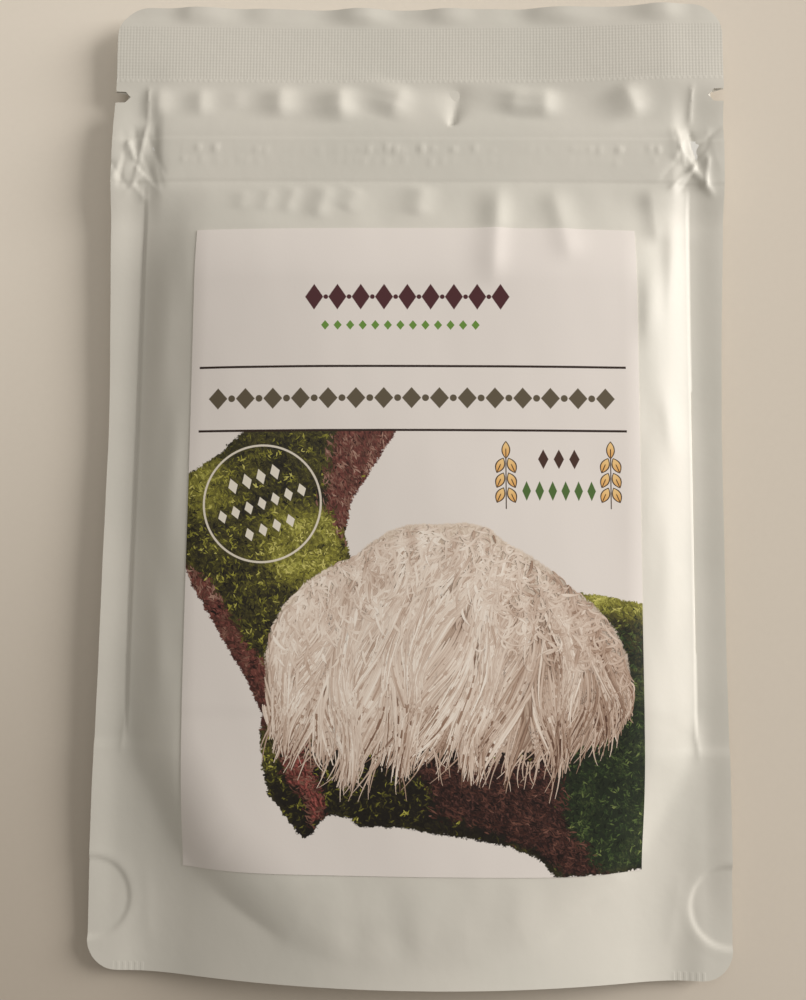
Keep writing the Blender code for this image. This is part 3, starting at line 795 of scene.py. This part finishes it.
    colour = ornaments(colour, u - 50.6, v - 130.6, 5.4, 9, 2.1, 3.1, srgb(74, 28, 34), dot=0.55)
    colour = ornaments(colour, u - 49.0, v - 123.8, 2.9, 13, 0.95, 1.15, srgb(104, 146, 58))
    colour = ornaments(colour, u - 51.6, v - 106.5, 6.4, 15, 2.2, 2.5, srgb(96, 86, 68), dot=0.8)
    colour = ornaments(colour, u - 85.4, v - 92.2, 3.6, 3, 1.2, 2.3, srgb(70, 44, 34))
    colour = ornaments(colour, u - 85.4, v - 84.8, 3.0, 6, 1.0, 2.3, srgb(78, 110, 52))
    cs, sn = math.cos(0.33), math.sin(0.33)
    ru, rv = (u - 17.4) * cs + (v - 81.9) * sn, (v - 81.9) * cs - (u - 17.4) * sn
    white = srgb(236, 230, 216)
    colour = ornaments(colour, ru, rv - 6.0, 3.4, 4, 1.15, 1.9, white)
    colour = ornaments(colour, ru, rv, 3.2, 7, 1.05, 1.6, white)
    colour = ornaments(colour, ru, rv + 5.9, 3.3, 4, 1.05, 1.6, white)

    s.set("Base Color", colour)
    s.set("Roughness", 0.45)
    s.bsdf.inputs["Specular IOR Level"].default_value = 0.4
    s.set("Normal", s.bump(s.noise(uv, 1.6, 3.0, 0.6), 0.00004, 0.25))
    return s.material


foil, zip_plastic, powder, printed = foil_material(), zip_material(), powder_material(), label_material()

# ------------------------------------------------------------------ pieces

cols = spaced([(-75.0, 0.5), (-57.0, 0.72), (57.0, 0.5), (75.0, 0)])
rows = np.array(sorted(set(np.round(np.concatenate([
    np.array([0.0, 0.12, 0.35, 0.7, 1.15, 1.7, 2.3, 3.0]), spaced([(3.7, 0.62), (30.0, 1.05), (170.0, 0.62), (185.0, 0.42), (207.4, 0.45)])[:-1],
    np.array([207.4, 207.88, 207.94, 208.4, 208.9, 209.4, 209.9, 210.4, 210.86, 210.92, 211.4]), spaced([(211.9, 0.5), (216.0, 1.1), (226.0, 0.5), (231.0, 0)]),
    np.array([231.5, 231.9, 232.2, 232.5, 232.7, 232.85, 232.95, 233.0])]), 4))))
if len(rows) % 2 == 0:
    wide = int(np.argmax(np.diff(rows)))
    rows = np.insert(rows, wide + 1, (rows[wide] + rows[wide + 1]) / 2)
X, Y = outline_grid(cols, rows, panel_edge)
top = front_film(X, Y)
d = inside(X, Y)
sealed = np.minimum(back_face(X, Y) + BACK_FILM + 0.012, top - 0.12)
gap_side = smooth((np.abs(X) - SEAM_X + 0.6) / 0.8) * smooth((Y - FOLD_Y - 3.0) / 2.0)
gap_top = smooth((Y - 214.0) / 1.2)
film_in = lowest_near(top, 2) - 0.20
film_in = film_in + (sealed - film_in) * np.maximum(gap_side, gap_top)
shell("front_film", X, Y, top, np.minimum(film_in, top - 0.1), 2, foil, ["front_panel"])

back_cols = spaced([(-75.0, 0.8), (-48.0, 1.3), (48.0, 0.8), (75.0, 0)])
back_rows = np.array(sorted(set(np.round(np.concatenate([
    np.array([0.0, 0.12, 0.35, 0.7, 1.15, 1.7, 2.3, 3.0]), spaced([(3.7, 1.3), (176.0, 0.8), (207.4, 0.5)])[:-1],
    np.array([207.4, 207.88, 207.94, 208.6, 209.4, 210.2, 210.86, 210.92, 211.4]), spaced([(212.4, 0.9), (231.0, 0)]),
    np.array([231.5, 231.9, 232.2, 232.5, 232.7, 232.85, 232.95, 233.0])]), 4))))
if len(back_rows) % 2 == 0:
    wide = int(np.argmax(np.diff(back_rows)))
    back_rows = np.insert(back_rows, wide + 1, (back_rows[wide] + back_rows[wide + 1]) / 2)
BX, BY = outline_grid(back_cols, back_rows, panel_edge)
low = back_face(BX, BY)
shell("back_film", BX, BY, low + BACK_FILM, low, 2, foil, ["back_panel"], fine_low=True)


def gusset():
    """One film folded inwards: front half, fold, back half, with the half-moon notches at its sides."""
    def edge(y):
        e = panel_edge(y, False)
        if abs(y - TACK_Y) < 8.6:
            e = min(e, HALF_W - 0.6 - math.sqrt(8.6 ** 2 - (y - TACK_Y) ** 2) + 0.2)
        return e
    gcols = spaced([(-75.0, 1.1), (-50.0, 1.8), (50.0, 1.1), (75.0, 0)])
    grows = np.array(sorted(set([0.0, 0.12, 0.35, 0.7, 1.15, 1.7, 2.3, 3.0, 7.9, 8.2, 24.7, 25.0] + list(np.round(spaced([(4.0, 1.2), (FOLD_Y, 0)]), 3)))))
    x, y = outline_grid(gcols, grows, edge)
    n, m = x.shape
    a = gusset_high(x, y)
    b = back_face(x, y) + BACK_FILM + 0.015
    a = np.maximum(a, b + 0.31)
    t = 0.14
    shift = np.zeros(n)
    shift[-1] = 0.25
    sections = []
    for i in range(m):
        outer = [(x[j, i], y[j, i] + shift[j], a[j, i]) for j in range(n)] + [(x[j, i], y[j, i] + shift[j], b[j, i]) for j in reversed(range(n))]
        inner = [(x[j, i], y[j, i], b[j, i] + t) for j in range(n)] + [(x[j, i], y[j, i], a[j, i] - t) for j in reversed(range(n))]
        sections.append(outer + inner)
    count = len(sections[0])
    points = np.array([p for s in sections for p in s])
    faces = []
    for s in range(m - 1):
        for i in range(count):
            p, q = s * count + i, s * count + (i + 1) % count
            faces.append((p, p + count, q + count, q))
    for s, flip in ((0, True), (m - 1, False)):
        lo, hi = 0, count - 1
        while hi - lo > 1:
            quad = [s * count + i for i in (lo, lo + 1, hi - 1, hi)]
            if lo + 1 == hi - 1:
                quad = [quad[0], quad[1], quad[3]]
            faces.append(tuple(quad) if flip else tuple(reversed(quad)))
            lo, hi = lo + 1, hi - 1
    return finish_mesh("gusset_film", points, faces, foil, ["bottom_gusset"])


gusset()

label_u = spaced([(0.0, 0.55), (LABEL_W, 0)])
label_v = spaced([(0.0, 0.55), (102.0, 0.8), (LABEL_H, 0)])
U, V = np.meshgrid(label_u, label_v)
LX, LY = from_label(U, V)
face = label_face(LX, LY)
shell("paper_label", LX, LY, face, lowest_near(face, 1) - LABEL_THICK - 0.03, 2, printed, ["front_label"], fields=picture_fields(U, V))

# ------------------------------------------------------------------ ink: the picture's spines, moss and bark as flat strokes on the label

def picture_place(u, v):
    """Label position of a point of the picture, the inverse of the skew in picture_fields."""
    a, b = np.array(u, float), np.array(v, float)
    for _ in range(4):
        pu = -0.7458 + 0.994 * a + 0.0099 * b - 0.000089 * a * b + 0.00006 * a * a
        pv = -0.5523 - 0.0104 * a + 0.9934 * b + 0.000053 * a * b + 0.000025 * b * b + 0.000012 * a * a
        a, b = a + (u - pu), b + (v - pv)
    return a, b


def ramp_colour(t, *stops):
    """Linear colour along a list of display colours, t from 0 to 1."""
    table = np.array([srgb(*c) for c in stops])
    at = np.clip(t, 0.0, 1.0) * (len(stops) - 1)
    low = np.minimum(at.astype(int), len(stops) - 2)
    share = (at - low)[..., None]
    return table[low] * (1 - share) + table[low + 1] * share


def ink_material(name, rough):
    s = Shader(name)
    tone = s.attribute("ink")
    s.tree.links.new(tone.outputs["Color"], s.bsdf.inputs["Base Color"])
    s.set("Roughness", rough)
    s.bsdf.inputs["Specular IOR Level"].default_value = 0.35
    return s.material


def strokes(name, paths, widths, colours, rims, lifts, material):
    """Flat ribbons lying on the label. paths: n, m, 2. widths: n, m. colours, rims: n, m, 3. lifts: n."""
    n, m, _ = paths.shape
    along = np.gradient(paths, axis=1)
    along /= np.maximum(np.hypot(along[..., 0], along[..., 1]), 1e-9)[..., None]
    side = np.stack([-along[..., 1], along[..., 0]], -1) * widths[..., None]
    points = np.stack([paths - side, paths, paths + side], 2)
    tone = np.stack([rims, colours, rims], 2)
    a, b = picture_place(points[..., 0], points[..., 1])
    a, b = np.clip(a, 0.15, LABEL_W - 0.15), np.clip(b, 0.15, LABEL_H - 0.15)
    x, y = from_label(a, b)
    z = label_face(x, y) + lifts[:, None, None]
    xyz = np.stack([x, y, z], -1).reshape(-1, 3)
    base = (np.arange(n) * m * 3)[:, None, None]
    i = np.arange(m - 1)[None, :, None] * 3
    j = np.arange(2)[None, None, :]
    q = base + i + j
    quads = np.stack([q, q + 1, q + 4, q + 3], -1).reshape(-1, 4)[:, ::-1]
    return finish_mesh(name, xyz, [tuple(f) for f in quads.tolist()], material, None, {"ink": tone.reshape(-1, 3)})


SPINE_TONES = ((96, 68, 54), (150, 120, 100), (193, 168, 150), (222, 204, 189), (240, 227, 214), (250, 242, 232))


def crown_and_fringe(u):
    top = np.interp(u, CROWN_X, CROWN_Y)
    low = np.interp(u, FRINGE_X, FRINGE_Y)
    return top, low


def lean(u, t):
    """How far the hanging spines drift left for each millimetre down."""
    f = (u - 18.6) / 82.6
    middle = np.interp(f, (0.0, 0.1, 0.2, 0.3, 0.42, 0.52, 0.64, 0.75, 0.85, 0.95, 1.0), (-0.10, 0.0, 0.18, 0.40, 0.66, 0.68, 0.52, 0.30, 0.14, 0.04, 0.0))
    out = middle * (1.02 - 0.50 * t)
    out = out + 0.7 * np.clip(1 - t, 0, 1) * np.exp(-(f / 0.2) ** 2)
    out = out - 1.0 * np.clip(1 - t, 0, 1) ** 1.2 * np.exp(-((1 - f) / 0.22) ** 2) + 0.5 * np.clip(t, 0, 1) ** 2 * np.exp(-((1 - f) / 0.2) ** 2)
    return out


def spines():
    r = np.random.default_rng(77)
    steps = 11
    paths, widths, colours, rims, lifts = [], [], [], [], []

    def add(path, width, tone, rim, lift):
        paths.append(path), widths.append(width), colours.append(tone), rims.append(rim), lifts.append(lift)

    def place_tone(px, py):
        """Light and dark over the whole mushroom: pale crown and left, darker right side and hanging part."""
        tt, ll = crown_and_fringe(np.clip(px, 18.6, 101.2))
        t = np.clip((tt - py) / np.maximum(tt - ll, 4.0), 0.0, 1.2)
        right = smooth((px - 64.0) / 34.0)
        tufts = 0.07 * waves(px + 0.45 * py, py, 91, 7.0, 3.0)
        return 0.71 - 0.24 * right - 0.20 * smooth((t - 0.60) / 0.5) + tufts - 0.08 * smooth((24.0 - px) / 6.0)

    k = np.linspace(0.0, 1.0, steps)
    order = 0.0
    levels = 13
    for level in range(levels):
        share = level / (levels - 1)               # 0 the fringe, 1 the crown
        t0 = 0.74 - 0.66 * share
        count = int(36 - 10 * share)
        us = 19.0 + 83.0 * (np.arange(count) + r.uniform(0.05, 0.95, count)) / count
        r.shuffle(us)
        for u0 in us:
            top, low = crown_and_fringe(u0)
            reach = top - low
            v0 = top - (t0 + r.uniform(-0.06, 0.06)) * reach
            if top - v0 < 1.0:
                continue
            length = (v0 - low) * r.uniform(0.85, 1.12) if level < 4 else r.uniform(0.30, 0.58) * reach
            length = float(np.clip(length, 5.0, 30.0))
            u, v = u0, v0
            pts = []
            drift = r.normal(0.0, 0.09)
            bend = r.normal(0.0, 0.18)
            for n in range(steps):
                pts.append((u, v))
                tt, ll = crown_and_fringe(np.clip(u, 18.6, 101.2))
                t = np.clip((tt - v) / max(tt - ll, 4.0), 0.0, 1.2)
                step_v = length / (steps - 1)
                u -= (float(lean(u, t)) + drift + bend * (n / steps - 0.4) + 0.34 * float(waves(u, v, 93, 17.0, 1.6))) * step_v
                v -= step_v
            lock = np.array(pts)
            strands = int(r.integers(5, 9))
            spread = r.uniform(0.9, 2.0)
            close = r.uniform(0.5, 0.95)
            tone = r.normal(0.0, 0.10)
            # The darker gap that the lock leaves below and left of itself
            shadow = lock + np.array([-0.45, -0.1])
            deep = smooth((0.85 - share) / 0.6)
            dark = ramp_colour(place_tone(shadow[:, 0], shadow[:, 1]) - 0.18 - 0.24 * deep + r.normal(0, 0.04), *SPINE_TONES)
            add(shadow, spread * 0.26 * np.clip((k - 0.15) * 2.2, 0.0, 1.0) * (1 - 0.9 * k ** 2), dark, dark, order)
            order += 1
            for i in range(strands):
                off = (i / (strands - 1) - 0.5) * 2.0 * spread + r.normal(0, 0.12)
                start, stop = r.uniform(-0.04, 0.16), r.uniform(0.74, 1.08)
                kk = start + (stop - start) * k
                px = np.interp(kk, k, lock[:, 0]) + np.where(kk > 1, (kk - 1) * (lock[-1, 0] - lock[-2, 0]) * (steps - 1), 0)
                py = np.interp(kk, k, lock[:, 1]) + np.where(kk > 1, (kk - 1) * (lock[-1, 1] - lock[-2, 1]) * (steps - 1), 0)
                px = px + off * (1.0 - close * np.clip(kk, 0, 1) ** 1.2) + 0.24 * np.sin(kk * r.uniform(2, 5.5) + r.uniform(0, 6)) + r.normal(0, 0.9) * np.clip(kk, 0, 1) ** 4
                py = py + r.normal(0, 0.2) * kk
                width = (0.25 + 0.17 * r.random()) * np.minimum(1.0, 0.25 + k * 3.5) * (1.0 - 0.88 * k ** 1.8) + 0.03
                light = place_tone(px, py) + tone + r.normal(0, 0.105) + 0.10 * k - 0.05 * (1 - np.minimum(1, k * 3))
                add(np.stack([px, py], -1), width, ramp_colour(light, *SPINE_TONES), ramp_colour(light - 0.17, *SPINE_TONES), order)
                order += 0.2
        if level < 3:
            # Loose curling tips at the fringe
            for _ in range(46):
                u0 = r.uniform(19.5, 98.0)
                top, low = crown_and_fringe(u0)
                v0 = low + r.uniform(2.0, 7.0)
                length = r.uniform(3.0, 8.5)
                curl = r.normal(0.0, 1.3)
                px = u0 - (0.3 + 0.3 * r.normal()) * length * k + curl * k ** 2.5
                py = v0 - length * k
                light = np.full(steps, 0.52 + r.normal(0, 0.12))
                add(np.stack([px, py], -1), 0.21 * (1 - 0.85 * k) + 0.03, ramp_colour(light, *SPINE_TONES), ramp_colour(light - 0.2, *SPINE_TONES), order)
                order += 0.2
    # The crown: soft matted curls, loosest along the right ridge
    for _ in range(1300):
        u0 = r.uniform(19.5, 101.0)
        top, low = crown_and_fringe(u0)
        ridge = smooth((u0 - 60.0) / 14.0)
        t = abs(r.normal(0.0, 0.17 + 0.06 * ridge)) + 0.01
        if t > 0.5:
            continue
        v0 = top - t * (top - low)
        length = r.uniform(2.0, 6.0)
        wild = 0.35 + 0.55 * ridge + 0.5 * (t < 0.12)
        a = r.normal(math.atan2(-1.0, -float(lean(u0, t)) + 0.35 * (u0 < 45.0)), wild)
        turn = r.normal(0.0, 0.9 + 1.2 * ridge)
        heading = a + turn * k
        px = u0 + np.cumsum(np.cos(heading)) * length / steps
        py = v0 + np.cumsum(np.sin(heading)) * length / steps
        tt, _ = crown_and_fringe(np.clip(px, 18.6, 101.2))
        depth = np.clip((tt - py) / 4.0, 0, 1)
        light = place_tone(px, py) + 0.06 + r.normal(0, 0.09) + 0.09 * waves(px, py, 92, 4.5) - 0.10 * (1 - depth)
        width = (0.18 + 0.26 * r.random()) * np.minimum(1.0, 0.2 + k * 3) * (1 - 0.9 * k ** 2) + 0.03
        add(np.stack([px, py], -1), width, ramp_colour(light, *SPINE_TONES), ramp_colour(light - 0.12, *SPINE_TONES), order)
        order += 0.2
    paths_, widths_, colours_, rims_, lifts_ = map(np.array, (paths, widths, colours, rims, lifts))
    # Nothing crosses the mushroom's outline above its fringe
    edge = signed(paths_[..., 0], paths_[..., 1], MOUND)
    fringe = np.interp(paths_[..., 0], FRINGE_X, FRINGE_Y)
    outside = (edge < -0.25) & (paths_[..., 1] > fringe + 9.0)
    keep = ~outside.any(1) & (paths_[..., 0].max(1) < 102.0) & (paths_[..., 0].min(1) > 17.6)
    lifts_ = 0.020 + 0.065 * lifts_[keep] / order
    strokes("label_print_spines", paths_[keep], widths_[keep], colours_[keep], rims_[keep], lifts_, ink_material("spine_ink", 0.5))


def ground_print():
    """Moss blades and bark flecks over the trunk and branch."""
    r = np.random.default_rng(5)
    n = 19000
    u, v = r.uniform(-0.5, 104.0, n), r.uniform(0.4, 98.6, n)
    trunk, branch, mound = signed(u, v, TRUNK), signed(u, v, BRANCH), signed(u, v, MOUND)
    fringe = np.interp(u, FRINGE_X, FRINGE_Y)
    keep = (np.maximum(trunk, branch) > 0.15) & ((mound < -0.2) | (v < fringe - 0.5)) & (v < 98.2)
    u, v, trunk, branch = u[keep], v[keep], trunk[keep], branch[keep]
    bark = np.maximum(np.maximum(signed(u, v, BARK_TOP), signed(u, v, BARK_LOW)), np.maximum(signed(u, v, BARK_LEFT), signed(u, v, BARK_MID)))
    bark = bark + 1.6 * waves(u, v, 61, 9.0) + r.normal(0, 0.5, len(u))
    glow = np.clip(1.5 - ((u - 27.0) / 9.0) ** 2 - ((v - 71.5) / 8.0) ** 2, 0, 1) + 0.7 * np.clip(1.2 - ((u - 4.0) / 6.0) ** 2 - ((v - 87.0) / 8.0) ** 2, 0, 1)
    glow += 0.6 * np.clip(1.0 - ((u - 8.0) / 5.0) ** 2 - ((v - 72.0) / 5.0) ** 2, 0, 1) + 0.95 * smooth((v - 52.0) / 7.0) * smooth((u - 86.0) / 6.0) + 0.45 * np.clip(1.2 - ((u - 19.5) / 3.0) ** 2 - ((v - 27.0) / 9.0) ** 2, 0, 1)
    patches = waves(u, v, 62, 8.0)
    tufts = waves(u, v, 63, 2.6, 0.8)
    light = 0.31 + 0.20 * patches + 0.25 * tufts + 0.42 * glow + r.normal(0, 0.14, len(u)) + 0.05 * (v > 60.0)
    low_part = smooth((60.0 - v) / 14.0) * (branch > 0)
    light = light - 0.10 * low_part - 0.16 * smooth((12.0 - v) / 5.0) * (u < 74.0)
    moss = ramp_colour(light, (24, 20, 13), (60, 56, 26), (112, 110, 42), (168, 164, 66), (214, 208, 118))
    green = ramp_colour(light + 0.12, (20, 27, 17), (44, 60, 34), (80, 98, 52), (128, 140, 80))
    leafy = (smooth((u - 80.0) / 8.0) * smooth((60.0 - v) / 10.0))[:, None]
    moss = moss * (1 - leafy) + green * leafy
    grain = 0.38 + 0.24 * waves(u, v, 64, 3.6, 1.6) + r.normal(0, 0.10, len(u)) + 0.30 * (v > 60.0) + 0.14 * ((u < 40.0) & (v < 35.0)) - 0.12 * ((u > 45.0) & (v < 30.0))
    red = ramp_colour(grain, (26, 14, 11), (66, 37, 31), (106, 68, 57), (144, 104, 90), (182, 146, 130))
    is_bark = bark > 0.0
    tone = np.where(is_bark[:, None], red, moss)
    m = 3
    k = np.linspace(0.0, 1.0, m)
    heading = np.where(is_bark, np.where(v > 60.0, -1.15, -0.35) + r.normal(0, 0.45, len(u)), r.uniform(0, 2 * math.pi, len(u)))
    length = np.where(is_bark, r.uniform(0.6, 1.9, len(u)), r.uniform(0.5, 1.5, len(u)))
    bend = r.normal(0, 0.5, len(u))
    px = u[:, None] + np.cos(heading[:, None] + bend[:, None] * k) * length[:, None] * (k - 0.5)
    py = v[:, None] + np.sin(heading[:, None] + bend[:, None] * k) * length[:, None] * (k - 0.5)
    paths = np.stack([px, py], -1)
    inside_all = (np.maximum(signed(px, py, TRUNK), signed(px, py, BRANCH)) > -0.35).all(1) & (py < 98.4).all(1) & (px > -0.2).all(1) & (px < 104.4).all(1)
    # The ring and what is inside it stay clear
    cs, sn = math.cos(0.33), math.sin(0.33)
    cu, cv = px - 17.4, py - 81.9
    ru, rv = cu * cs + cv * sn, cv * cs - cu * sn
    clear = np.abs(np.hypot(cu, cv) - 13.5) < 0.55
    for row, pitch, count, wide, high in ((6.0, 3.4, 4, 1.15, 1.9), (0.0, 3.2, 7, 1.05, 1.6), (-5.9, 3.3, 4, 1.05, 1.6)):
        local = ((ru + pitch * count / 2.0) % pitch) - pitch / 2.0
        near = np.abs(local) / (wide + 0.5) + np.abs(rv - row) / (high + 0.6) < 1.0
        clear |= near & (np.abs(ru) < pitch * count / 2.0)
    inside_all &= ~clear.any(1)
    width = (r.uniform(0.10, 0.24, len(u)))[:, None] * np.array([0.35, 1.0, 0.25])
    colours = np.repeat(tone[:, None, :], m, 1)
    lifts = 0.012 + 0.012 * r.random(len(u))
    sel = inside_all
    strokes("label_print_ground", paths[sel], width[sel], colours[sel], colours[sel] * 0.8, lifts[sel], ink_material("ground_ink", 0.5))


spines()
ground_print()

# The powder, just under the films
fill_y = spaced([(13.0, 2.0), (176.0, 0)])
share = np.sin(np.linspace(-1.0, 1.0, 61) * math.pi / 2)
PX = np.empty((len(fill_y), len(share)))
for j, at in enumerate(fill_y):
    line = np.linspace(0.0, SEAM_X, 1400)
    yy = np.full_like(line, at)
    room = line[(inside(line, yy) > 2.5) & (inflated(line, yy) - back_low(line, yy) > 3.6)]
    PX[j] = share * (room.max() if len(room) else 4.0)
PY = np.repeat(fill_y[:, None], len(share), axis=1)
floor_z = back_face(PX, PY) + BACK_FILM + 0.3
floor_z = np.where(PY < FOLD_Y + 1.0, np.maximum(floor_z, gusset_high(PX, np.minimum(PY, FOLD_Y)) + 0.4), floor_z)
roof_z = np.maximum(lowest_near(front_film(PX, PY), 1) - 0.9, floor_z + 0.2)
shell("powder", PX, PY, roof_z, floor_z, 2, powder, ["powder_fill"])

for name in ("zip_front_strip", "zip_back_strip"):
    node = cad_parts[name]
    node.data.materials.clear()
    node.data.materials.append(zip_plastic)

# ------------------------------------------------------------------ floor, light and camera

scene = bpy.context.scene
floor_mesh = bpy.data.meshes.new("floor")
floor_mesh.from_pydata([(-2, -2, -0.0003), (2, -2, -0.0003), (2, 2, -0.0003), (-2, 2, -0.0003)], [], [(0, 1, 2, 3)])
floor_shader = Shader("floor")
grain = floor_shader.noise(floor_shader.place(), 700.0, 2.0, 0.6)
floor_x, floor_y, _ = floor_shader.split(floor_shader.place())
# Painted light and shade on the floor: its colour runs lighter towards the top and darker towards the bottom left,
# standing in for uneven room light and a shadow
tone = ((floor_y * 1.19 - floor_x * floor_y * 10.6 - floor_x * 0.48) * 1.0 + 0.03)
floor_painted_shade = floor_shader.mix(grain, srgb(190, 180, 166), srgb(193, 183, 169))
floor_painted_light = floor_shader.mix(grain, srgb(243, 235, 222), srgb(246, 238, 225))
floor_shader.set("Base Color", floor_shader.mix(tone.step(-0.30, 0.30), floor_painted_shade, floor_painted_light))
floor_shader.set("Roughness", 0.75)
floor_mesh.materials.append(floor_shader.material)
floor = bpy.data.objects.new("floor", floor_mesh)
scene.collection.objects.link(floor)

world = bpy.data.worlds.new("room")
world.use_nodes = True
world.node_tree.nodes["Background"].inputs["Color"].default_value = (0.82, 0.755, 0.675, 1.0)
world.node_tree.nodes["Background"].inputs["Strength"].default_value = 0.33
scene.world = world


def area(name, place, target, size_x, size_y, power, colour):
    data = bpy.data.lights.new(name, "AREA")
    data.shape = "RECTANGLE"
    data.size, data.size_y = size_x, size_y
    data.energy = power
    data.color = colour
    obj = bpy.data.objects.new(name, data)
    scene.collection.objects.link(obj)
    from mathutils import Vector
    obj.location = place
    obj.rotation_euler = (Vector(target) - Vector(place)).to_track_quat("-Z", "Y").to_euler()
    return obj


area("window", (1.36, 0.44, 0.53), (0.0, 0.0, 0.0), 0.8, 0.9, 28.5, (1.0, 0.96, 0.92))
area("ceiling", (-0.1, 0.55, 1.0), (0.0, 0.1, 0.0), 0.6, 0.6, 1.4, (1.0, 0.97, 0.92))

camera_data = bpy.data.cameras.new("camera")
camera = bpy.data.objects.new("camera", camera_data)
scene.collection.objects.link(camera)
camera.location = (0.00150, (88.717 - LENGTH / 2) * MM, 0.22492)
camera.rotation_euler = Euler((math.radians(5.336), math.radians(0.921), math.radians(0.663)), "XYZ")
camera_data.sensor_width = 36.0
camera_data.lens = 929.3 / 1000.0 * 36.0
camera_data.clip_start, camera_data.clip_end = 0.01, 20.0
camera_data.dof.use_dof = False
scene.camera = camera
scene.view_settings.view_transform = "Standard"
